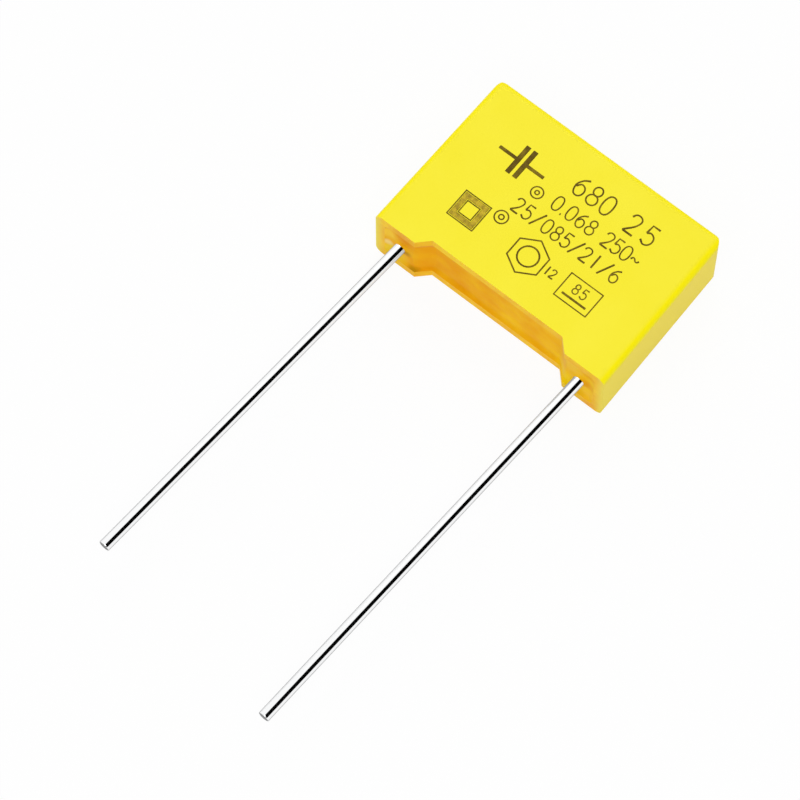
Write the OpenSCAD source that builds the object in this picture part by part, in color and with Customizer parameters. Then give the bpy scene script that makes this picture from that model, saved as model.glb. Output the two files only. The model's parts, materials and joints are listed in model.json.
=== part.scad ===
// Box film capacitor with two radial wire leads: a moulded case, open on its lead side, holds a flat
// wound film roll with a sprayed metal contact on each end, a lead is welded to each contact, and
// poured resin seals the open side.
// X runs along the lead spacing, +Y from the leads towards the closed top, +Z from back to front.
// The origin is the centre of the case's back face, on which the part lies.

/* [Case] */
// Length of the case at its open side
case_length = 12.8; // [12:0.1:14]
// Height of the case, from the ends of its feet to its closed top
case_height = 8.75; // [8:0.05:10.5]
// Thickness of the case, from its back face to its front face
case_thickness = 3.75; // [3.4:0.05:5.5]
// Thickness of the moulded walls
wall = 0.5; // [0.4:0.05:0.6]
// Thickness of the closed top
top_wall = 0.6; // [0.4:0.05:0.9]
// Radius of the case's long outer edges
edge_radius = 0.38; // [0.2:0.02:0.46]
// Radius of the front outline's corners at the closed top
corner_radius = 0.6; // [0.4:0.05:0.8]
// Radius of the cavity's corners
cavity_radius = 0.3; // [0.15:0.05:0.5]
// How far each end wall leans in by the closed top, so that the case leaves its mould
draft = 0.12; // [0.04:0.02:0.24]

/* [Feet] */
// Width of each stand-off foot at its end
foot_width = 2.2; // [1.6:0.1:3]
// Height of the feet over the case's edge between them
foot_height = 0.57; // [0.3:0.03:0.8]
// Steepness of the slope from each foot to that edge, in degrees
slope_angle = 45; // [35:5:70]

/* [Resin] */
// Depth of the resin's level below the case's edge between the feet
edge_fill = 0.12; // [0.06:0.02:0.2]
// Depth of the resin drawn up inside the feet, below their ends
foot_fill = 0.1; // [0.08:0.01:0.2]
// Width of the strip where the resin climbs the walls, up to their edges
climb_width = 0.3; // [0.22:0.02:0.4]
// Width of the resin's collar around each lead
collar_width = 0.34; // [0.2:0.02:0.4]
// Height of that collar
collar_height = 0.07; // [0.04:0.01:0.08]

/* [Film roll] */
// Resin between the roll and the case's front and back walls
side_gap = 0.2; // [0.1:0.05:0.4]
// Resin between the roll and the closed top
top_gap = 0.25; // [0.1:0.05:0.6]
// Resin between the roll and the resin's level
cover = 0.9; // [0.6:0.05:1.5]
// Thickness of the metal sprayed on each end of the roll
spray_thickness = 0.4; // [0.25:0.05:0.6]

/* [Leads] */
// Distance between the two leads' centres at the case
lead_pitch = 10.1; // [9.6:0.1:10.6]
// Diameter of the lead wire
lead_diameter = 0.55; // [0.45:0.05:0.7]
// How deep the lead is welded into the sprayed metal
weld_depth = 0.08; // [0.04:0.02:0.14]
// Length of lead that lies on the sprayed metal
weld_length = 4.2; // [2.5:0.1:5]
// Straight length of the left lead beyond the feet
left_length = 19; // [10:0.1:30]
// Straight length of the right lead beyond the feet
right_length = 20.6; // [10:0.1:30]
// Lean of the left lead, in degrees towards -X
left_lean = 3.2; // [0.5:0.1:6]
// Lean of the right lead, in degrees towards -X
right_lean = 2.4; // [0.5:0.1:6]

/* [Hidden] */
$fn = 64;
foot_plane = -case_height / 2;
edge_plane = foot_plane + foot_height;
resin_level = edge_plane + edge_fill;
foot_level = foot_plane + foot_fill;
half_gap = case_length / 2 - foot_width;
cavity_top = case_height / 2 - top_wall;
cavity_half_length = case_length / 2 - wall;
cavity_half_thickness = case_thickness / 2 - wall;
mid_thickness = case_thickness / 2;
draft_angle = atan(draft / case_height);
roll_bottom = resin_level + cover;
roll_top = cavity_top - top_gap;
roll_thickness = case_thickness - 2 * (wall + side_gap);
lead_radius = lead_diameter / 2;
contact_plane = lead_pitch / 2 - lead_radius + weld_depth;
roll_half_length = contact_plane - spray_thickness;
// How far a cutting shape runs past what it cuts
overrun = 1;

// Outline of a rectangle with round corners, from its lower left corner
module rounded_rectangle(width, height, radius) {
    translate([radius, 0])
        square([width - 2 * radius, height]);
    translate([0, radius])
        square([width, height - 2 * radius]);
    for (x = [radius, width - radius], y = [radius, height - radius])
        translate([x, y])
            circle(radius);
}

// Extrudes an outline drawn in X and Z along Y, up to the given Y
module along_y(length, end) {
    translate([0, end, 0])
        rotate([90, 0, 0])
            linear_extrude(length)
                children();
}

// Extrudes an outline drawn in Y and Z along X, centred on the part
module along_x(length) {
    translate([-length / 2, 0, 0])
        rotate([90, 0, 90])
            linear_extrude(length)
                children();
}

// Long block whose +X face leans in by the draft and has round edges
module leaning_side(half_length, low_z, high_z, radius) {
    reach = 2 * case_length;
    translate([half_length, foot_plane, 0])
        rotate([0, 0, draft_angle])
            along_y(4 * case_height, 2 * case_height)
                translate([-reach, low_z])
                    rounded_rectangle(reach, high_z - low_z, radius);
}

// Front outline with leaning ends and round corners at its top
module front_outline(half_length, low_y, high_y, radius) {
    centre_y = high_y - radius;
    lean_in = (centre_y - foot_plane) * sin(draft_angle);
    centre_x = half_length - (radius + lean_in) / cos(draft_angle);
    low_x = half_length - (low_y - foot_plane) * tan(draft_angle);
    side_x = centre_x + radius * cos(draft_angle);
    side_y = centre_y + radius * sin(draft_angle);
    polygon([
        [-low_x, low_y], [low_x, low_y], [side_x, side_y],
        [centre_x, high_y], [-centre_x, high_y], [-side_x, side_y]
    ]);
    for (side = [-1, 1])
        translate([side * centre_x, centre_y])
            circle(radius);
}

// Box with leaning ends and every edge round, apart from those of its open end
module drafted_box(half_length, low_z, high_z, low_y, high_y, long_radius, outline_radius) {
    depth = high_z - low_z;
    intersection() {
        leaning_side(half_length, low_z, high_z, long_radius);
        mirror([1, 0, 0])
            leaning_side(half_length, low_z, high_z, long_radius);
        along_x(3 * case_length)
            translate([low_y - overrun, low_z])
                rounded_rectangle(high_y - low_y + overrun, depth, long_radius);
        translate([0, 0, low_z - overrun])
            linear_extrude(depth + 2 * overrun)
                front_outline(half_length, low_y, high_y, outline_radius);
    }
}

// Space inside the case
module cavity(low_y) {
    drafted_box(
        cavity_half_length, wall, case_thickness - wall,
        low_y, cavity_top, cavity_radius, cavity_radius
    );
}

// Outline of the gap between the feet, seen from the front
module foot_gap(low_level, high_level) {
    slope_run = (high_level - low_level) / tan(slope_angle);
    polygon([
        [-half_gap, foot_plane - overrun], [half_gap, foot_plane - overrun],
        [half_gap, low_level], [half_gap - slope_run, high_level],
        [slope_run - half_gap, high_level], [-half_gap, low_level]
    ]);
}

module case() {
    color("#f7ea36")
        difference() {
            drafted_box(
                case_length / 2, 0, case_thickness,
                foot_plane, case_height / 2, edge_radius, corner_radius
            );
            cavity(foot_plane - overrun);
            translate([0, 0, -overrun])
                linear_extrude(case_thickness + 2 * overrun)
                    foot_gap(foot_plane, edge_plane);
        }
}

// Section of the resin's free end between two walls: level, and climbing to each wall's edge
module resin_section(half_width, level, climb) {
    climb_radius = (pow(climb_width, 2) + pow(climb, 2)) / (2 * climb);
    level_half = half_width - climb_width;
    difference() {
        translate([-half_width - overrun, level - climb])
            square([2 * (half_width + overrun), cavity_top + overrun - level]);
        translate([-level_half, level - climb - overrun])
            square([2 * level_half, climb + overrun]);
        for (side = [-1, 1])
            translate([side * level_half, level - climb_radius])
                circle(climb_radius);
    }
}

// The same section from the front wall to the back wall, centred on the part
module resin_ridge(length, level, climb) {
    along_x(length)
        translate([0, mid_thickness])
            mirror([1, 0])
                rotate(90)
                    resin_section(cavity_half_thickness, level, climb);
}

// The resin before the roll and the leads take up their room: level between the feet, and
// drawn up inside each foot, with a slope between the two like the case's own
module resin_fill() {
    foot_length = case_length / 2 - half_gap;
    intersection() {
        cavity(foot_plane);
        union() {
            resin_ridge(case_length, resin_level, edge_fill);
            for (side = [-1, 1])
                translate([side * (half_gap + foot_length / 2), 0, 0])
                    resin_ridge(foot_length, foot_level, foot_fill);
            linear_extrude(case_thickness)
                difference() {
                    resin_section(cavity_half_length, foot_level, foot_fill);
                    foot_gap(foot_level, resin_level);
                }
        }
    }
}

// Resin drawn up around one lead in a hollow curve
module resin_collar(x) {
    collar_radius = (pow(collar_width, 2) + pow(collar_height, 2)) / (2 * collar_height);
    foot_radius = lead_radius + collar_width;
    translate([x, foot_level, mid_thickness])
        rotate([90, 0, 0])
            rotate_extrude()
                difference() {
                    translate([0, -cover / 2])
                        square([foot_radius, cover / 2 + collar_height]);
                    translate([foot_radius, collar_radius])
                        circle(collar_radius);
                }
}

// The roll with its sprayed ends, out to the given distance on each side
module roll_body(half_length) {
    height = roll_top - roll_bottom;
    along_x(2 * half_length)
        translate([roll_bottom, mid_thickness - roll_thickness / 2])
            flat_oval(height, roll_thickness);
}

// Section of the pressed roll: straight sides between two half-rounds
module flat_oval(width, height) {
    translate([height / 2, 0])
        square([width - height, height]);
    for (x = [height / 2, width - height / 2])
        translate([x, height / 2])
            circle(height / 2);
}

// Straight length of lead wire along +Z, which starts a little behind its given end
module wire(length) {
    translate([0, 0, -lead_radius])
        cylinder(h = length + lead_radius, r = lead_radius);
}

// One lead: its sealed length, and its free length, which leans towards -X from the feet on.
// The two are mitred where they meet, at the feet.
module lead_wire(side, lean, free_length) {
    reach = 2 * lead_diameter;
    translate([side * lead_pitch / 2, foot_plane, mid_thickness]) {
        difference() {
            rotate([-90, 0, 0])
                wire(roll_bottom + weld_length - foot_plane);
            rotate([0, 0, -lean / 2])
                translate([-reach, -2 * reach, -reach])
                    cube(2 * reach);
        }
        difference() {
            rotate([90, 0, -lean])
                wire(free_length);
            rotate([0, 0, -lean / 2])
                translate([-reach, 0, -reach])
                    cube(2 * reach);
        }
    }
}

module potting_resin() {
    color("#e2a012")
        difference() {
            union() {
                resin_fill();
                resin_collar(-lead_pitch / 2);
                resin_collar(lead_pitch / 2);
            }
            roll_body(contact_plane);
            lead_wire(-1, left_lean, left_length);
            lead_wire(1, right_lean, right_length);
        }
}

module film_winding() {
    color("#c9c7bd")
        roll_body(roll_half_length);
}

// Metal sprayed on one end of the roll, with the lead sunk into it at the weld
module end_spray(side) {
    color("#8d8f92")
        difference() {
            translate([side * (contact_plane + roll_half_length) / 2, 0, 0])
                roll_slice();
            lead_wire(side, side < 0 ? left_lean : right_lean, left_length);
        }
}

// Slice of the roll's outline, as thick as the sprayed metal
module roll_slice() {
    along_x(spray_thickness)
        translate([roll_bottom, mid_thickness - roll_thickness / 2])
            flat_oval(roll_top - roll_bottom, roll_thickness);
}

module end_spray_left() {
    end_spray(-1);
}

module end_spray_right() {
    end_spray(1);
}

module lead_left() {
    color("#d8dadc")
        lead_wire(-1, left_lean, left_length);
}

module lead_right() {
    color("#d8dadc")
        lead_wire(1, right_lean, right_length);
}

case();
potting_resin();
film_winding();
end_spray_left();
end_spray_right();
lead_left();
lead_right();
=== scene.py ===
import json
import math
from collections import Counter

import bpy
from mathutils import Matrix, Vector, noise


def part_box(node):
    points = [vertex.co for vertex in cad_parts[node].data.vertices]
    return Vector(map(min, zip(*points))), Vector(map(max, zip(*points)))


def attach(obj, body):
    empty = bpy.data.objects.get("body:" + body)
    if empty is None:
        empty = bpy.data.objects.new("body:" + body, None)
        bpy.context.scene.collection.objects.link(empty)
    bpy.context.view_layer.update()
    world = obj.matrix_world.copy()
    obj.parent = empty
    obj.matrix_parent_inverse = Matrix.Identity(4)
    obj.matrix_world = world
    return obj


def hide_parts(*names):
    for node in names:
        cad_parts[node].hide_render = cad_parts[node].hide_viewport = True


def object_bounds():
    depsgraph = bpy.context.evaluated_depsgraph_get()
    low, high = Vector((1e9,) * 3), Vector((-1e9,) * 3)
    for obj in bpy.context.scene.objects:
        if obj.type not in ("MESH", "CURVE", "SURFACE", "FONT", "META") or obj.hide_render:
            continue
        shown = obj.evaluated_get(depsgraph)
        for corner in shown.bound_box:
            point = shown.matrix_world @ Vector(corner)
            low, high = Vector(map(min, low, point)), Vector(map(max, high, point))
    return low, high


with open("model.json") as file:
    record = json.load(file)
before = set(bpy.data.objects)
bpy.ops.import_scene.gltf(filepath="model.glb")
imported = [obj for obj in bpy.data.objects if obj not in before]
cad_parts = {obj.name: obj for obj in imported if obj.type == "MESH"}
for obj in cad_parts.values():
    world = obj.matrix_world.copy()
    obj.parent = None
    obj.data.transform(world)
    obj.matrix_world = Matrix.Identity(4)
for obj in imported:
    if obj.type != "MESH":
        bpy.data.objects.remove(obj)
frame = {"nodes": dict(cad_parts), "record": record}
cad_low, cad_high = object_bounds()


# ---------------------------------------------------------------- Film roll
# A ribbon of polypropylene film with a vacuum-deposited metal layer, wound flat and pressed. It
# fills most of the case. The metal shows through the outer turns as a soft grey.

MM = 0.001


def linear_rgb(hex_colour):
    """Turns an sRGB hex colour into the linear values that a shader takes."""
    values = [int(hex_colour[i:i + 2], 16) / 255 for i in (1, 3, 5)]
    linear = [v / 12.92 if v <= 0.04045 else ((v + 0.055) / 1.055) ** 2.4 for v in values]
    return (*linear, 1.0)


def add_node(tree, kind, values=None, links=None, **settings):
    """Adds a node with its settings, its inputs' values and the sockets that feed its inputs."""
    node = tree.nodes.new(kind)
    for name, value in settings.items():
        setattr(node, name, value)
    for name, value in (values or {}).items():
        node.inputs[name].default_value = value
    for name, socket in (links or {}).items():
        tree.links.new(socket, node.inputs[name])
    return node


def new_material(name):
    """Makes an empty material and returns it with its node tree."""
    material = bpy.data.materials.new(name)
    material.use_nodes = True
    material.node_tree.nodes.clear()
    return material, material.node_tree


def dress(piece, material):
    """Gives a piece one material in place of those that it has."""
    piece.data.materials.clear()
    piece.data.materials.append(material)


# Metallised polypropylene film, wound under tension: grey metal under clear film, with faint
# wrinkles round the roll, drawn coarser than the real ones so as to show.
film, tree = new_material("Metallised polypropylene film")
wrinkle_gap = 0.3 * MM
wrinkle_length = 4 * MM
wrinkle_depth = 0.02 * MM
place = add_node(tree, "ShaderNodeTexCoord")
along_roll = add_node(
    tree, "ShaderNodeMapping",
    values={"Scale": (1 / wrinkle_gap, 1 / wrinkle_length, 1 / wrinkle_length)},
    links={"Vector": place.outputs["Object"]},
)
wrinkles = add_node(
    tree, "ShaderNodeTexNoise", values={"Scale": 1.0, "Detail": 3.0},
    links={"Vector": along_roll.outputs["Vector"]},
)
wrinkle_bump = add_node(
    tree, "ShaderNodeBump", values={"Strength": 0.3, "Distance": wrinkle_depth},
    links={"Height": wrinkles.outputs["Fac"]},
)
shade = add_node(
    tree, "ShaderNodeMapRange", values={"From Min": 0.3, "From Max": 0.7},
    links={"Value": wrinkles.outputs["Fac"]},
)
grey = add_node(
    tree, "ShaderNodeMix", data_type="RGBA",
    values={"A": linear_rgb("#A5A49A"), "B": linear_rgb("#C6C5BC")},
    links={"Factor": shade.outputs["Result"]},
)
shader = add_node(
    tree, "ShaderNodeBsdfPrincipled",
    values={
        "Metallic": 0.5, "Roughness": 0.3, "IOR": 1.49, "Coat Weight": 0.4, "Coat Roughness": 0.1,
    },
    links={"Base Color": grey.outputs["Result"], "Normal": wrinkle_bump.outputs["Normal"]},
)
add_node(tree, "ShaderNodeOutputMaterial", links={"Surface": shader.outputs["BSDF"]})
dress(frame["nodes"]["film_winding"], film)


# ---------------------------------------------------------------- End sprays
# Zinc sprayed from an arc onto each end of the roll, where it joins the film's metal layers.
# The drops freeze as they land, so the surface is dull and sandy.

sprayed_zinc, tree = new_material("Arc-sprayed zinc")
drop_size = 0.09 * MM
drop_height = 0.04 * MM
cloud_size = 1.2 * MM
place = add_node(tree, "ShaderNodeTexCoord")
drops = add_node(
    tree, "ShaderNodeTexVoronoi", values={"Scale": 1 / drop_size},
    links={"Vector": place.outputs["Object"]},
)
clouds = add_node(
    tree, "ShaderNodeTexNoise", values={"Scale": 1 / cloud_size, "Detail": 6.0},
    links={"Vector": place.outputs["Object"]},
)
drop_bump = add_node(
    tree, "ShaderNodeBump", values={"Strength": 0.8, "Distance": drop_height},
    links={"Height": drops.outputs["Distance"]},
)
shade = add_node(
    tree, "ShaderNodeMapRange", values={"From Min": 0.3, "From Max": 0.7},
    links={"Value": clouds.outputs["Fac"]},
)
grey = add_node(
    tree, "ShaderNodeMix", data_type="RGBA",
    values={"A": linear_rgb("#77787A"), "B": linear_rgb("#9C9DA0")},
    links={"Factor": shade.outputs["Result"]},
)
shader = add_node(
    tree, "ShaderNodeBsdfPrincipled", values={"Metallic": 0.85, "Roughness": 0.62},
    links={"Base Color": grey.outputs["Result"], "Normal": drop_bump.outputs["Normal"]},
)
add_node(tree, "ShaderNodeOutputMaterial", links={"Surface": shader.outputs["BSDF"]})
for name in ("end_spray_left", "end_spray_right"):
    dress(frame["nodes"][name], sprayed_zinc)


# ---------------------------------------------------------------- Leads
# Tinned copper-clad steel wire, drawn to its size and welded to the sprayed metal. Each lead comes
# out of its foot, bends a little to the left there, and is sheared off square at its end.

WIRE_SIDES = 64
BEND_STEPS = 8
bend_radius = 2.5 * MM
tip_bevel = 0.035 * MM
foot_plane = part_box("case")[0].y
mid_z = (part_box("case")[0].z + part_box("case")[1].z) / 2


def lead_centre(mount):
    """Where a lead's axis passes the plane of the feet, along X."""
    return mount["pos_m"][0] - mount["axis"][0] * (mount["pos_m"][1] - foot_plane) / mount["axis"][1]


def pick(piece, kind, wanted):
    """Selects the faces, edges or vertices that the test wants, and goes to edit mode."""
    bpy.context.view_layer.objects.active = piece
    bpy.ops.object.mode_set(mode="EDIT")
    bpy.ops.mesh.select_mode(type=kind)
    bpy.ops.mesh.select_all(action="DESELECT")
    bpy.ops.object.mode_set(mode="OBJECT")
    mesh = piece.data
    parts = {"FACE": mesh.polygons, "EDGE": mesh.edges, "VERT": mesh.vertices}[kind]
    for part in parts:
        part.select = wanted(part)
    bpy.ops.object.mode_set(mode="EDIT")


def select_only(piece):
    """Makes a piece the only one selected, and the active one."""
    bpy.ops.object.select_all(action="DESELECT")
    piece.select_set(True)
    bpy.context.view_layer.objects.active = piece


def finish_piece(piece, name, material, node=None):
    """Names a piece, puts its place in its mesh, dresses it and fixes it to the part."""
    select_only(piece)
    bpy.ops.object.transform_apply(location=True, rotation=True, scale=True)
    piece.name = name
    piece.data.name = name
    dress(piece, material)
    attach(piece, "root")
    if node:
        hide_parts(node)


# Bright tin plating over the drawn wire: it mirrors its surroundings, and the faint lines that the
# die left along it, drawn coarser than the real ones, blur them a little. A skin of oxide dims what
# the wire mirrors along its outline.
tinned_wire, tree = new_material("Tinned copper-clad steel wire")
die_line_gap = 0.03 * MM
die_line_length = 1.5 * MM
die_line_depth = 0.005 * MM
place = add_node(tree, "ShaderNodeTexCoord")
along_wire = add_node(
    tree, "ShaderNodeMapping",
    values={"Scale": (1 / die_line_gap, 1 / die_line_length, 1 / die_line_gap)},
    links={"Vector": place.outputs["Object"]},
)
die_lines = add_node(
    tree, "ShaderNodeTexNoise", values={"Scale": 1.0, "Detail": 2.0},
    links={"Vector": along_wire.outputs["Vector"]},
)
line_roughness = add_node(
    tree, "ShaderNodeMapRange", values={"To Min": 0.04, "To Max": 0.09},
    links={"Value": die_lines.outputs["Fac"]},
)
line_bump = add_node(
    tree, "ShaderNodeBump", values={"Strength": 0.03, "Distance": die_line_depth},
    links={"Height": die_lines.outputs["Fac"]},
)
shade = add_node(
    tree, "ShaderNodeMapRange", values={"From Min": 0.3, "From Max": 0.7},
    links={"Value": die_lines.outputs["Fac"]},
)
silver = add_node(
    tree, "ShaderNodeMix", data_type="RGBA",
    values={"A": linear_rgb("#F6F7F8"), "B": linear_rgb("#FDFDFD")},
    links={"Factor": shade.outputs["Result"]},
)
shader = add_node(
    tree, "ShaderNodeBsdfPrincipled",
    values={"Metallic": 1.0, "Specular Tint": linear_rgb("#808080")},
    links={
        "Base Color": silver.outputs["Result"], "Roughness": line_roughness.outputs["Result"],
        "Normal": line_bump.outputs["Normal"],
    },
)
add_node(tree, "ShaderNodeOutputMaterial", links={"Surface": shader.outputs["BSDF"]})


def lead(name):
    """Models one lead: sealed length, bend at the foot, leaning free length, square tip."""
    mount = next(m for m in frame["record"]["mounts"] if m["name"] == name)
    radius = mount["dims"]["r_mm"] * MM
    free_length = mount["dims"]["length_mm"] * MM
    axis = Vector(mount["axis"])
    centre = lead_centre(mount)
    lean = math.atan2(-axis.x, -axis.y)
    trim = bend_radius * math.tan(lean / 2)
    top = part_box(name)[1].y
    low = foot_plane + trim
    bpy.ops.object.select_all(action="DESELECT")
    bpy.ops.mesh.primitive_cylinder_add(
        vertices=WIRE_SIDES, radius=radius, depth=top - low,
        location=(centre, (top + low) / 2, mid_z), rotation=(math.pi / 2, 0, 0),
    )
    piece = bpy.context.object
    bpy.ops.object.transform_apply(location=True, rotation=True, scale=True)
    # The lower end turns through the bend and is drawn out along the lead's axis.
    pick(piece, "FACE", lambda face: face.normal.y < -0.9)
    bpy.ops.mesh.spin(
        steps=BEND_STEPS, angle=lean, center=(centre - bend_radius, low, mid_z), axis=(0, 0, 1),
    )
    bpy.ops.mesh.extrude_region_move(
        TRANSFORM_OT_translate={"value": axis * (free_length - trim)}
    )
    bpy.ops.object.mode_set(mode="OBJECT")
    # The sheared end keeps a small bevel round its face.
    tip_y = min(v.co.y for v in piece.data.vertices)
    pick(
        piece, "FACE",
        lambda face: face.center.y < tip_y + radius / 2 and face.normal.dot(axis) > 0.99,
    )
    bpy.ops.mesh.region_to_loop()
    bpy.ops.mesh.bevel(offset=tip_bevel, segments=2, affect="EDGES")
    bpy.ops.object.mode_set(mode="OBJECT")
    bpy.ops.object.shade_smooth_by_angle(angle=math.radians(15))
    finish_piece(piece, name + "_wire", tinned_wire, name)
    return piece


leads = [lead("lead_left"), lead("lead_right")]


# ---------------------------------------------------------------- Case
# One moulding of PBT with satin faces, straight from the tool, open at the side of the leads.
# Resin has wetted the edges of its walls there and stained them amber.

pbt, tree = new_material("Moulded PBT")
mottle_size = 2.5 * MM
grain_size = 0.08 * MM
grain_depth = 0.015 * MM
stain_size = 0.6 * MM
# How far from the back face the painted shade on the sides deepens, and how far from the outside the
# rims are paler.
back_shade_from, back_shade_full = 0.5 * MM, 0.15 * MM
pale_from, pale_full = 0.45 * MM, 0.05 * MM
place = add_node(tree, "ShaderNodeTexCoord")
shape = add_node(tree, "ShaderNodeNewGeometry")
mottle = add_node(
    tree, "ShaderNodeTexNoise", values={"Scale": 1 / mottle_size, "Detail": 4.0},
    links={"Vector": place.outputs["Object"]},
)
mottle_shade = add_node(
    tree, "ShaderNodeMapRange", values={"From Min": 0.25, "From Max": 0.75},
    links={"Value": mottle.outputs["Fac"]},
)
face_yellow = add_node(
    tree, "ShaderNodeMix", data_type="RGBA",
    values={"A": linear_rgb("#F7E930"), "B": linear_rgb("#F9EC3A")},
    links={"Factor": mottle_shade.outputs["Result"]},
)
# Painted light: the rounded edges are painted a purer yellow, which stands in for how the light falls
# on them.
turned = add_node(
    tree, "ShaderNodeVectorMath", operation="ABSOLUTE", links={0: shape.outputs["Normal"]},
)
turned_parts = add_node(
    tree, "ShaderNodeSeparateXYZ", links={"Vector": turned.outputs["Vector"]},
)
larger = add_node(
    tree, "ShaderNodeMath", operation="MAXIMUM",
    links={0: turned_parts.outputs["X"], 1: turned_parts.outputs["Y"]},
)
largest = add_node(
    tree, "ShaderNodeMath", operation="MAXIMUM",
    links={0: larger.outputs["Value"], 1: turned_parts.outputs["Z"]},
)
edge = add_node(
    tree, "ShaderNodeMapRange", values={"From Min": 0.995, "From Max": 0.85},
    links={"Value": largest.outputs["Value"]},
)
edge_yellow_painted_light = add_node(
    tree, "ShaderNodeMix", data_type="RGBA", values={"B": linear_rgb("#FFF000")},
    links={"Factor": edge.outputs["Result"], "A": face_yellow.outputs["Result"]},
)
# Painted light: the sides are painted a shade warmer, which stands in for how the light falls on
# them. Next to the back face, where the part meets the floor, their yellow is deeper: painted shade.
where = add_node(tree, "ShaderNodeSeparateXYZ", links={"Vector": place.outputs["Object"]})
painted_shade_at_back = add_node(
    tree, "ShaderNodeMapRange",
    values={"From Min": cad_low.z + back_shade_from, "From Max": cad_low.z + back_shade_full},
    links={"Value": where.outputs["Z"]},
)
side_yellow_painted_light = add_node(
    tree, "ShaderNodeMix", data_type="RGBA",
    values={"A": linear_rgb("#FAE434"), "B": linear_rgb("#ECCA00")},
    links={"Factor": painted_shade_at_back.outputs["Result"]},
)
# The painted light and shade go on the faces that turn away from the front.
side = add_node(
    tree, "ShaderNodeMapRange", values={"From Min": 0.4, "From Max": 0.1},
    links={"Value": turned_parts.outputs["Z"]},
)
yellow = add_node(
    tree, "ShaderNodeMix", data_type="RGBA",
    links={
        "Factor": side.outputs["Result"], "A": edge_yellow_painted_light.outputs["Result"],
        "B": side_yellow_painted_light.outputs["Result"],
    },
)
# Spark-eroded tool texture, its grain drawn coarser than the real one so as to show.
grain = add_node(
    tree, "ShaderNodeTexNoise", values={"Scale": 1 / grain_size, "Detail": 2.0},
    links={"Vector": place.outputs["Object"]},
)
grain_bump = add_node(
    tree, "ShaderNodeBump", values={"Strength": 0.35, "Distance": grain_depth},
    links={"Height": grain.outputs["Fac"]},
)
# The rims: amber where resin has wetted them, and paler towards the outside of the two end walls.
spread = add_node(
    tree, "ShaderNodeTexNoise", values={"Scale": 1 / stain_size, "Detail": 3.0},
    links={"Vector": place.outputs["Object"]},
)
spread_shade = add_node(
    tree, "ShaderNodeMapRange", values={"From Min": 0.3, "From Max": 0.7},
    links={"Value": spread.outputs["Fac"]},
)
amber_stain = add_node(
    tree, "ShaderNodeMix", data_type="RGBA",
    values={"A": linear_rgb("#F6B800"), "B": linear_rgb("#FFD000")},
    links={"Factor": spread_shade.outputs["Result"]},
)
sideways = add_node(
    tree, "ShaderNodeMath", operation="ABSOLUTE", links={0: where.outputs["X"]},
)
at_ends = add_node(
    tree, "ShaderNodeMapRange",
    values={"From Min": cad_high.x - pale_from, "From Max": cad_high.x - pale_full},
    links={"Value": sideways.outputs["Value"]},
)
stain = add_node(
    tree, "ShaderNodeMix", data_type="RGBA", values={"B": linear_rgb("#F4DE48")},
    links={"Factor": at_ends.outputs["Result"], "A": amber_stain.outputs["Result"]},
)


def add_spots(tree, where, colour, spots):
    """Lays soft spots of other tones over a colour, each seen along Y, and returns the result."""
    spot_core = 0.3
    across = add_node(
        tree, "ShaderNodeCombineXYZ", links={"X": where.outputs["X"], "Z": where.outputs["Z"]},
    )
    for x, z, reach, tint, strength in spots:
        gap = add_node(
            tree, "ShaderNodeVectorMath", operation="DISTANCE",
            values={1: (x * MM, 0, z * MM)}, links={0: across.outputs["Vector"]},
        )
        share = add_node(
            tree, "ShaderNodeMapRange",
            values={"From Min": reach * MM, "From Max": spot_core * reach * MM, "To Max": strength},
            links={"Value": gap.outputs["Value"]},
        )
        tinted = add_node(
            tree, "ShaderNodeMix", data_type="RGBA", values={"B": linear_rgb(tint)},
            links={"Factor": share.outputs["Result"], "A": colour},
        )
        colour = tinted.outputs["Result"]
    return colour


# Each spot: its place along X and Z and its radius, in millimetres, its colour and its strength.
RIM_SPOTS = [
    (-2.4, 3.5, 1.6, "#FFD600", 0.9),
    (-4.8, 3.4, 0.7, "#F0A400", 0.8),
    (4.2, 0.5, 0.9, "#FFDA00", 0.85),
    (5.7, 0.2, 0.5, "#F4A800", 0.7),
]
stain_colour = add_spots(tree, where, stain.outputs["Result"], RIM_SPOTS)
facing = add_node(
    tree, "ShaderNodeSeparateXYZ", links={"Vector": shape.outputs["True Normal"]},
)
rim = add_node(
    tree, "ShaderNodeMapRange", values={"From Min": -0.4, "From Max": -0.6},
    links={"Value": facing.outputs["Y"]},
)
colour = add_node(
    tree, "ShaderNodeMix", data_type="RGBA",
    links={"Factor": rim.outputs["Result"], "A": yellow.outputs["Result"], "B": stain_colour},
)
shader = add_node(
    tree, "ShaderNodeBsdfPrincipled",
    values={"Roughness": 0.42, "IOR": 1.5, "Specular IOR Level": 0.1},
    links={"Base Color": colour.outputs["Result"], "Normal": grain_bump.outputs["Normal"]},
)
add_node(tree, "ShaderNodeOutputMaterial", links={"Surface": shader.outputs["BSDF"]})
dress(frame["nodes"]["case"], pbt)
# The wires mirror the white room and not the case.
frame["nodes"]["case"].visible_glossy = False


# ---------------------------------------------------------------- Potting resin
# Epoxy poured in through the open side. It covers the roll, stands a little below the case's edges,
# and is drawn up along the walls, into the feet and round the leads before it sets.

# The cavity: its half sizes, the radius of its corners, and how far the draft brings its end walls in.
resin_low, resin_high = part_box("potting_resin")
half_length = resin_high.x
half_thickness = (resin_high.z - resin_low.z) / 2
corner = 0.3 * MM
draft_inset = 0.11 * MM
# The feet, and half of the gap between them.
foot_width = 2.2 * MM
foot_height = 0.57 * MM
half_gap = cad_high.x - foot_width
edge_plane = foot_plane + foot_height
# How far the resin stands below the case's edge, between the feet and in them. It rises into a foot
# over a longer way than the foot's own slope.
edge_depth = 0.12 * MM
foot_depth = 0.1 * MM
rise_start = half_gap - 1.3 * foot_height
rise_end = half_gap + 0.3 * foot_height
# Where it is drawn up: along the walls, and as a collar round each lead.
climb_width = 0.4 * MM
collar_width = 0.34 * MM
collar_height = 0.07 * MM
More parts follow.
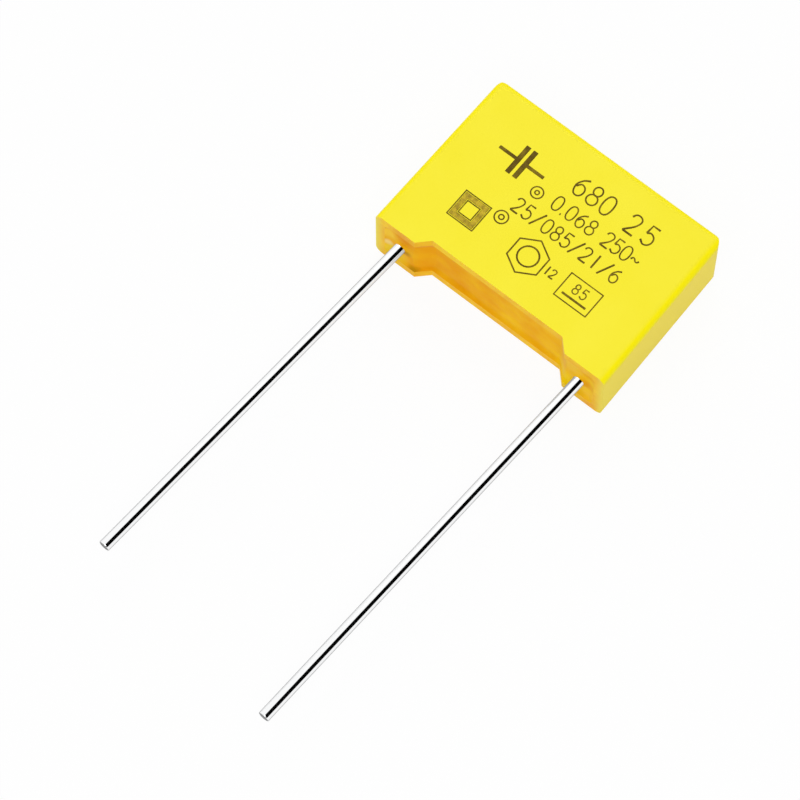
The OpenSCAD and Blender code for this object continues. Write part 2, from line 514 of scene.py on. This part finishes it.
# Waves left as it set, and the step of the grid that shows them.
wave_height = 0.02 * MM
wave_length = 1.1 * MM
small_wave_length = 0.4 * MM
small_wave_share = 0.4
grid_step = 0.05 * MM


def between(low, high, value):
    """How far a value has come from low to high, from 0 to 1."""
    return min(max((value - low) / (high - low), 0), 1)


def wall_distance(x, z):
    """Distance from a place on the free surface to the nearest wall of the case."""
    over_x = abs(x) - (half_length - corner)
    over_z = abs(z - mid_z) - (half_thickness - corner)
    outside = math.hypot(max(over_x, 0), max(over_z, 0))
    return corner - outside - min(max(over_x, over_z), 0)


def free_surface(x, z):
    """Where the resin's free surface stands, along Y, at one place."""
    slope = between(half_gap - foot_height, half_gap, abs(x))
    rise = between(rise_start, rise_end, abs(x))
    rise = rise * rise * (3 - 2 * rise)
    edge = edge_plane - foot_height * slope
    level = edge_plane + edge_depth + (foot_depth - edge_depth - foot_height) * rise
    climb = max(1 - wall_distance(x, z) / climb_width, 0) ** 2
    height = level + (edge - level) * climb
    for mount in frame["record"]["mounts"]:
        if mount["kind"] == "pin":
            centre = lead_centre(mount)
            gap = math.hypot(x - centre, z - mid_z) - mount["dims"]["r_mm"] * MM
            height -= collar_height * max(1 - max(gap, 0) / collar_width, 0) ** 2
    # The second noise is read far from the first, so that the two waves differ.
    wave = noise.noise(Vector((x, 0, z)) / wave_length)
    small_wave = noise.noise(Vector((x, 7, z)) / small_wave_length)
    return height + wave_height * (wave + small_wave_share * small_wave) * (1 - climb)


def cut_away(piece, cutter):
    """Cuts one piece out of another."""
    select_only(piece)
    modifier = piece.modifiers.new("cut", "BOOLEAN")
    modifier.operation = "DIFFERENCE"
    modifier.solver = "EXACT"
    modifier.object = cutter
    bpy.ops.object.modifier_apply(modifier="cut")


# The free surface is a fine grid, with its corners rounded to the cavity.
bpy.ops.object.select_all(action="DESELECT")
bpy.ops.mesh.primitive_grid_add(
    x_subdivisions=round(2 * half_length / grid_step),
    y_subdivisions=round(2 * half_thickness / grid_step), size=2,
)
resin = bpy.context.object
for vertex in resin.data.vertices:
    x = vertex.co.x * half_length
    over = max(abs(x) - (half_length - corner), 0)
    reach = half_thickness - corner + math.sqrt(max(corner ** 2 - over ** 2, 0))
    z = mid_z + vertex.co.y * reach
    vertex.co = (x, free_surface(x, z), z)
# Its outline is drawn out to the closed top of the cavity, and in over the rounding there.
bpy.ops.object.mode_set(mode="EDIT")
bpy.ops.mesh.select_all(action="SELECT")
bpy.ops.mesh.region_to_loop()
ROUNDING_STEPS = 5
width, thickness = half_length, half_thickness
for turn in range(ROUNDING_STEPS + 1):
    angle = turn / ROUNDING_STEPS * math.pi / 2
    new_y = resin_high.y - corner * (1 - math.sin(angle))
    inset = corner * (1 - math.cos(angle))
    new_width = half_length - draft_inset - inset
    new_thickness = half_thickness - inset
    bpy.ops.mesh.extrude_region_move(TRANSFORM_OT_translate={"value": (0, 0, 0)})
    bpy.ops.transform.resize(
        value=(new_width / width, 0, new_thickness / thickness),
        center_override=(0, new_y, mid_z),
    )
    width, thickness = new_width, new_thickness
bpy.ops.mesh.edge_face_add()
bpy.ops.mesh.select_all(action="SELECT")
bpy.ops.mesh.normals_make_consistent(inside=False)
bpy.ops.object.mode_set(mode="OBJECT")

# The roll and its sprayed ends fill a flat oval pocket, and the leads pass through the resin.
roll_low, roll_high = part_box("film_winding")
pocket_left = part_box("end_spray_left")[0].x
pocket_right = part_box("end_spray_right")[1].x
roll_radius = (roll_high.z - roll_low.z) / 2
bpy.ops.object.select_all(action="DESELECT")
bpy.ops.mesh.primitive_cube_add(
    size=1, location=((pocket_left + pocket_right) / 2, (roll_low.y + roll_high.y) / 2, mid_z),
    scale=(pocket_right - pocket_left, roll_high.y - roll_low.y, 2 * roll_radius),
)
pocket = bpy.context.object
bpy.ops.object.transform_apply(location=True, rotation=True, scale=True)
vertices = pocket.data.vertices
pick(
    pocket, "EDGE",
    lambda edge: abs(vertices[edge.vertices[0]].co.x - vertices[edge.vertices[1]].co.x) > MM,
)
# A hair less than the radius, so that the two rounded sides don't meet.
bpy.ops.mesh.bevel(offset=0.9999 * roll_radius, segments=16, affect="EDGES")
bpy.ops.object.mode_set(mode="OBJECT")
for cutter in (pocket, *leads):
    cut_away(resin, cutter)
bpy.data.objects.remove(pocket)
# The cuts leave a few doubled points, and points in the middle of a straight edge.
doubled = 0.001 * MM
bpy.ops.object.mode_set(mode="EDIT")
bpy.ops.mesh.select_all(action="SELECT")
bpy.ops.mesh.remove_doubles(threshold=doubled)
bpy.ops.object.mode_set(mode="OBJECT")
edges_at = Counter(end for edge in resin.data.edges for end in edge.vertices)
pick(resin, "VERT", lambda vertex: edges_at[vertex.index] == 2)
bpy.ops.mesh.dissolve_verts()
bpy.ops.object.mode_set(mode="OBJECT")
select_only(resin)
bpy.ops.object.shade_smooth_by_angle(angle=math.radians(40))

# Amber epoxy, cast and left as it set: semi-gloss, with clouds of a deeper tone. It pales from left
# to right, is painted darker along the back wall as painted shade, and has a few spots, among them
# painted shade and a painted highlight beside the leads.
epoxy, tree = new_material("Amber epoxy")
cloud_size = 1.3 * MM
ripple_size = 0.35 * MM
ripple_depth = 0.02 * MM
tone_shift = (-0.28, 0.2)
back_shade_reach = 0.6 * MM
place = add_node(tree, "ShaderNodeTexCoord")
where = add_node(tree, "ShaderNodeSeparateXYZ", links={"Vector": place.outputs["Object"]})
clouds = add_node(
    tree, "ShaderNodeTexNoise", values={"Scale": 1 / cloud_size, "Detail": 4.0},
    links={"Vector": place.outputs["Object"]},
)
towards_right = add_node(
    tree, "ShaderNodeMapRange",
    values={
        "From Min": -half_length, "From Max": half_length,
        "To Min": tone_shift[0], "To Max": tone_shift[1],
    },
    links={"Value": where.outputs["X"]},
)
tone = add_node(
    tree, "ShaderNodeMath", operation="ADD",
    links={0: clouds.outputs["Fac"], 1: towards_right.outputs["Result"]},
)
shade = add_node(
    tree, "ShaderNodeMapRange", values={"From Min": 0.25, "From Max": 0.75},
    links={"Value": tone.outputs["Value"]},
)
amber = add_node(
    tree, "ShaderNodeMix", data_type="RGBA",
    values={"A": linear_rgb("#F3A700"), "B": linear_rgb("#FECC18")},
    links={"Factor": shade.outputs["Result"]},
)
# Painted shade: the resin is painted darker along the back wall.
painted_back_shade = add_node(
    tree, "ShaderNodeMapRange",
    values={"From Min": resin_low.z + back_shade_reach, "From Max": resin_low.z, "To Max": 0.4},
    links={"Value": where.outputs["Z"]},
)
shaded = add_node(
    tree, "ShaderNodeMix", data_type="RGBA", values={"B": linear_rgb("#DC8C00")},
    links={"Factor": painted_back_shade.outputs["Result"], "A": amber.outputs["Result"]},
)
# The resin's spots, each given as those of the rims are. Some are painted shade, one a painted
# highlight.
RESIN_SPOTS_SHADE_AND_HIGHLIGHT = [
    (-5.5, 0.9, 1.1, "#FFDE34", 0.85),
    (-5.7, 2.6, 0.8, "#FFD640", 0.8),
    # A painted highlight: the pale spot left of the left lead.
    (-5.73, 1.6, 0.35, "#F8DC90", 0.8),
    # Painted shade beside the left lead.
    (-4.87, 3.0, 0.8, "#EE9800", 0.8),
    # A painted shadow at the right of the left lead, where it leaves the resin.
    (-4.75, 1.7, 0.35, "#B88600", 0.8),
    (-4.3, 0.55, 0.35, "#9A7808", 0.6),
    (4.2, 0.9, 1.0, "#FFD800", 0.9),
    (4.5, 2.7, 0.8, "#FACC40", 0.7),
    # Painted shade beside the right lead, on this line and the next.
    (5.47, 3.1, 0.6, "#F0A400", 0.8),
    (5.4, 2.0, 0.5, "#EEA000", 0.8),
    (5.75, 0.9, 0.7, "#FFCC30", 0.6),
]
resin_colour = add_spots(tree, where, shaded.outputs["Result"], RESIN_SPOTS_SHADE_AND_HIGHLIGHT)
ripples = add_node(
    tree, "ShaderNodeTexNoise", values={"Scale": 1 / ripple_size, "Detail": 3.0},
    links={"Vector": place.outputs["Object"]},
)
ripple_bump = add_node(
    tree, "ShaderNodeBump", values={"Strength": 0.3, "Distance": ripple_depth},
    links={"Height": ripples.outputs["Fac"]},
)
shader = add_node(
    tree, "ShaderNodeBsdfPrincipled",
    values={"Roughness": 0.45, "IOR": 1.55, "Specular IOR Level": 0.02},
    links={"Base Color": resin_colour, "Normal": ripple_bump.outputs["Normal"]},
)
add_node(tree, "ShaderNodeOutputMaterial", links={"Surface": shader.outputs["BSDF"]})
finish_piece(resin, "resin_fill", epoxy, "potting_resin")
# The wires don't mirror the resin either.
resin.visible_glossy = False


# ---------------------------------------------------------------- Marking
# Plain figures and shapes that a laser has burnt into the front face. The beam's path shows as thin
# single strokes with round ends. No letters, names or signs of any maker are among them.

stroke_height = 0.012 * MM
# A stroke is 1.3 times as wide at its ends, where the beam starts and stops.
end_swell = 1.3
# Each figure is a list of strokes on a grid of 4 by 6: the stroke's kind, then its points. A line
# is straight and a curve is smooth. A frame is a closed line and a loop is a closed curve.
grid_height = 6
FIGURES = {
    "0": [("loop", (2, 0), (4, 3), (2, 6), (0, 3))],
    "1": [("line", (2, 0), (2, 6))],
    "2": [
        ("curve", (0, 4.7), (0.7, 5.7), (2, 6), (3.5, 5.3), (3.5, 3.9), (0, 0)),
        ("line", (0.05, 0), (4, 0)),
    ],
    "5": [
        ("line", (3.6, 6), (0.7, 6), (0.4, 3.3)),
        ("curve", (0.45, 3.35), (2.2, 3.8), (3.9, 2), (2.1, 0), (0, 0.8)),
    ],
    "6": [("curve", (3.3, 5.8), (1.2, 4.6), (0.1, 2), (2, 0), (3.9, 1.9), (2.1, 3.6), (0.3, 2.4))],
    "8": [
        ("loop", (2, 3.15), (3.6, 4.6), (2, 6), (0.4, 4.6)),
        ("loop", (2, 3.25), (4, 1.6), (2, 0), (0, 1.6)),
    ],
    ".": [("line", (1.7, 0.2), (2.3, 0.2))],
    "/": [("line", (0, -0.4), (4, 6.4))],
    "~": [("curve", (0, 2.4), (1, 3.3), (3, 2.3), (4, 3.2))],
}


def figures(text, left, base, height, pitch):
    """Strokes of a row of narrow figures that stands on one line, in millimetres."""
    narrowing = 0.8
    point_squeeze = 0.3
    strokes = []
    scale = height / grid_height
    narrow = narrowing * scale
    start = left
    for figure in text:
        squeeze = point_squeeze * pitch if figure == "." else 0
        start -= squeeze
        for kind, *points in FIGURES[figure]:
            placed = [(start + x * narrow, base + y * scale) for x, y in points]
            strokes.append((kind, *placed))
        start += pitch - squeeze
    return strokes


def draw(name, strokes, width, material):
    """Draws strokes on the case's front face as one flat, closed piece."""
    curve = bpy.data.curves.new(name, "CURVE")
    curve.dimensions = "3D"
    curve.bevel_depth = width * MM / 2
    curve.bevel_resolution = 2
    curve.resolution_u = 6
    curve.use_fill_caps = True
    for kind, *points in strokes:
        spline = curve.splines.new("BEZIER")
        spline.bezier_points.add(len(points) - 1)
        spline.use_cyclic_u = kind in ("loop", "frame")
        for point, (x, y) in zip(spline.bezier_points, points):
            handle = "AUTO" if kind in ("loop", "curve") else "VECTOR"
            point.co = (x * MM, y * MM, 0)
            point.handle_left_type = handle
            point.handle_right_type = handle
        if not spline.use_cyclic_u:
            spline.bezier_points[0].radius = end_swell
            spline.bezier_points[-1].radius = end_swell
    marks = bpy.data.objects.new(name, curve)
    bpy.context.collection.objects.link(marks)
    select_only(marks)
    bpy.ops.object.convert(target="MESH")
    marks = bpy.context.object
    marks.scale.z = 2 * stroke_height / (width * MM)
    marks.location.z = cad_high.z
    finish_piece(marks, name, material)


# PBT charred by the laser: a dark olive that the beam leaves a little uneven, and quite dull.
charred, tree = new_material("Laser-charred PBT")
burn_size = 0.5 * MM
place = add_node(tree, "ShaderNodeTexCoord")
burn = add_node(
    tree, "ShaderNodeTexNoise", values={"Scale": 1 / burn_size, "Detail": 2.0},
    links={"Vector": place.outputs["Object"]},
)
burn_shade = add_node(
    tree, "ShaderNodeMapRange", values={"From Min": 0.4, "From Max": 0.75},
    links={"Value": burn.outputs["Fac"]},
)
char = add_node(
    tree, "ShaderNodeMix", data_type="RGBA",
    values={"A": linear_rgb("#5E4A08"), "B": linear_rgb("#8A7414")},
    links={"Factor": burn_shade.outputs["Result"]},
)
shader = add_node(
    tree, "ShaderNodeBsdfPrincipled", values={"Roughness": 0.7, "Specular IOR Level": 0.2},
    links={"Base Color": char.outputs["Result"]},
)
add_node(tree, "ShaderNodeOutputMaterial", links={"Surface": shader.outputs["BSDF"]})

# The same, where the beam passed quickly over an area: a light olive between the outlines.
hatched, tree = new_material("Lightly charred PBT")
burn_size = 0.25 * MM
place = add_node(tree, "ShaderNodeTexCoord")
burn = add_node(
    tree, "ShaderNodeTexNoise", values={"Scale": 1 / burn_size, "Detail": 3.0},
    links={"Vector": place.outputs["Object"]},
)
burn_shade = add_node(
    tree, "ShaderNodeMapRange", values={"From Min": 0.35, "From Max": 0.65},
    links={"Value": burn.outputs["Fac"]},
)
char = add_node(
    tree, "ShaderNodeMix", data_type="RGBA",
    values={"A": linear_rgb("#9C8414"), "B": linear_rgb("#CBB020")},
    links={"Factor": burn_shade.outputs["Result"]},
)
shader = add_node(
    tree, "ShaderNodeBsdfPrincipled", values={"Roughness": 0.6, "Specular IOR Level": 0.3},
    links={"Base Color": char.outputs["Result"]},
)
add_node(tree, "ShaderNodeOutputMaterial", links={"Surface": shader.outputs["BSDF"]})

# The widths of the strokes, in millimetres. A row of figures takes its left end, its base line, the
# figures' height and their pitch.
hair, thin, light, medium = 0.06, 0.07, 0.08, 0.085
stem, bold, band = 0.13, 0.19, 0.36
row_one = figures("680", -0.42, 1.89, 0.99, 0.74) + figures("25", 2.5, 1.89, 0.99, 0.9)
draw("row_one", row_one, light, charred)
row_two = figures("0.068", -0.66, 0.71, 0.75, 0.55) + figures("250~", 2.15, 0.71, 0.75, 0.5)
draw("row_two", row_two, thin, charred)
draw("row_three", figures("25/085/21/6", -1.95, -0.45, 0.73, 0.54), thin, charred)
draw("small_figures", figures("12", 1.06, -1.95, 0.44, 0.3), hair, charred)

# The usual drawing of a capacitor: two plates, each with its lead.
plates = [("line", (-3.16, 0.85), (-3.16, 2.45)), ("line", (-2.76, 0.85), (-2.76, 2.45))]
stems = [("line", (-4.2, 1.65), (-3.16, 1.65)), ("line", (-2.76, 1.65), (-1.72, 1.65))]
draw("capacitor_plates", plates, bold, charred)
draw("capacitor_stems", stems, stem, charred)


def circle(x, y, radius):
    """A round stroke."""
    return ("loop", (x, y - radius), (x + radius, y), (x, y + radius), (x - radius, y))


def rectangle(x, y, width, height):
    """A square-cornered stroke, centred on one place."""
    return (
        "frame", (x - width / 2, y - height / 2), (x + width / 2, y - height / 2),
        (x + width / 2, y + height / 2), (x - width / 2, y + height / 2),
    )


def hexagon(x, y, radius):
    """A six-sided stroke that stands on a corner."""
    corners = [math.radians(60 * n + 30) for n in range(6)]
    return ("frame", *((x + radius * math.cos(a), y + radius * math.sin(a)) for a in corners))


upper_rings = [circle(-1.51, 0.92, 0.29), circle(-1.51, 0.92, 0.1)]
lower_rings = [circle(-2.0, -1.0, 0.32), circle(-2.0, -1.0, 0.12)]
draw("rings", upper_rings + lower_rings, thin, charred)
draw("square_band", [rectangle(-3.3, -1.65, 1.05, 1.05)], band, hatched)
square_outlines = [rectangle(-3.3, -1.65, 1.41, 1.41), rectangle(-3.3, -1.65, 0.69, 0.69)]
draw("square_outlines", square_outlines, medium, charred)
draw("hexagon", [hexagon(0.1, -1.75, 0.95), circle(0.1, -1.75, 0.5)], medium, charred)
panel = [rectangle(2.95, -1.8, 1.75, 1.3), ("line", (2.3, -2.15), (3.6, -2.15))]
draw("panel", panel, medium, charred)
draw("panel_figures", figures("85", 2.6, -1.9, 0.5, 0.42), hair, charred)


# ---------------------------------------------------------------- Floor
# A sheet of white card, a hair under the part so that the two don't share a plane. To the camera
# and in the wires it is nearly all plain white, and the rest of it keeps the part's shadow.

card, tree = new_material("White card")
white_to_camera = 0.92
white_in_mirrors = 0.6
card_side = 1.2
card_gap = 0.02 * MM
path = add_node(tree, "ShaderNodeLightPath")
matt_white = add_node(
    tree, "ShaderNodeBsdfDiffuse", values={"Color": linear_rgb("#F4F4F4")},
)
glow = add_node(tree, "ShaderNodeEmission", values={"Strength": 1.0})
seen_whitened = add_node(
    tree, "ShaderNodeMath", operation="MULTIPLY", values={1: white_to_camera},
    links={0: path.outputs["Is Camera Ray"]},
)
whitened = add_node(
    tree, "ShaderNodeMath", operation="MULTIPLY_ADD", values={1: white_in_mirrors},
    links={0: path.outputs["Is Glossy Ray"], 2: seen_whitened.outputs["Value"]},
)
mixed = add_node(
    tree, "ShaderNodeMixShader",
    links={
        0: whitened.outputs["Value"], 1: matt_white.outputs["BSDF"], 2: glow.outputs["Emission"],
    },
)
add_node(tree, "ShaderNodeOutputMaterial", links={"Surface": mixed.outputs["Shader"]})
bpy.ops.object.select_all(action="DESELECT")
bpy.ops.mesh.primitive_plane_add(size=card_side, location=(0, 0, cad_low.z - card_gap))
floor = bpy.context.object
bpy.ops.object.transform_apply(location=True, rotation=True, scale=True)
floor.name = "floor"
dress(floor, card)


# ---------------------------------------------------------------- Light
# A white studio with one soft box on the side of the leads and a weaker one beyond the closed top.
# A dark panel up to the right, which only mirrors see, draws the dark line along the wires.

world = bpy.data.worlds.new("Studio")
bpy.context.scene.world = world
world.use_nodes = True
tree = world.node_tree
tree.nodes.clear()
path = add_node(tree, "ShaderNodeLightPath")
direction = add_node(tree, "ShaderNodeTexCoord")
split = add_node(tree, "ShaderNodeSeparateXYZ", links={"Vector": direction.outputs["Generated"]})
flat = add_node(
    tree, "ShaderNodeCombineXYZ", links={"X": split.outputs["X"], "Z": split.outputs["Z"]},
)
unit = add_node(
    tree, "ShaderNodeVectorMath", operation="NORMALIZE", links={0: flat.outputs["Vector"]},
)
# Seen along Y: how far the panel's middle leans from straight up towards the right, half of the
# angle that it spans, and the softness of its edges in radians.
panel_angle = math.radians(41.6)
panel_half = math.radians(33)
panel_blur = 0.03
towards = add_node(
    tree, "ShaderNodeVectorMath", operation="DOT_PRODUCT",
    values={1: (math.sin(panel_angle), 0, math.cos(panel_angle))},
    links={0: unit.outputs["Vector"]},
)
dark_panel = add_node(
    tree, "ShaderNodeMapRange",
    values={
        "From Min": math.cos(panel_half + panel_blur),
        "From Max": math.cos(panel_half - panel_blur),
        "To Min": 1.0, "To Max": 0.0,
    },
    links={"Value": towards.outputs["Value"]},
)
white = (1, 1, 1, 1)
plain = add_node(tree, "ShaderNodeBackground", values={"Color": white, "Strength": 0.6})
mirrored = add_node(
    tree, "ShaderNodeBackground", values={"Color": white},
    links={"Strength": dark_panel.outputs["Result"]},
)
backdrop = add_node(tree, "ShaderNodeBackground", values={"Color": white, "Strength": 1.0})
unseen = add_node(
    tree, "ShaderNodeMixShader",
    links={
        0: path.outputs["Is Glossy Ray"], 1: plain.outputs["Background"],
        2: mirrored.outputs["Background"],
    },
)
studio = add_node(
    tree, "ShaderNodeMixShader",
    links={
        0: path.outputs["Is Camera Ray"], 1: unseen.outputs["Shader"],
        2: backdrop.outputs["Background"],
    },
)
add_node(tree, "ShaderNodeOutputWorld", links={"Surface": studio.outputs["Shader"]})

soft_box_side = 160 * MM


def soft_box(name, location, energy):
    """A square soft box that faces the part, its energy in watts."""
    bpy.ops.object.light_add(type="AREA", location=location)
    box = bpy.context.object
    box.rotation_euler = box.location.to_track_quat("Z", "Y").to_euler()
    box.name = name
    box.data.shape = "SQUARE"
    box.data.size = soft_box_side
    box.data.energy = energy


soft_box("near_soft_box", location=(0.06, -0.11, 0.22), energy=0.22)
soft_box("far_soft_box", location=(-0.1, 0.14, 0.16), energy=0.126)


# ---------------------------------------------------------------- Camera
# A long lens well above the part, on the side of the leads and a little to the right. It looks at a
# place between the case and the leads' ends, so that the whole part is in view.

azimuth = math.radians(39.03)
elevation = math.radians(67.96)
distance = 193.08 * MM
target = Vector((-0.468, -9.987, 1.875)) * MM
back = Vector((
    math.sin(azimuth) * math.cos(elevation),
    -math.cos(azimuth) * math.cos(elevation),
    math.sin(elevation),
))
bpy.ops.object.camera_add(location=target + back * distance)
camera = bpy.context.object
camera.rotation_euler = back.to_track_quat("Z", "Y").to_euler()
camera.data.sensor_width = 36
camera.data.lens = 198.34
camera.data.clip_start = 1 * MM
bpy.context.scene.camera = camera
bpy.context.scene.view_settings.view_transform = "Standard"
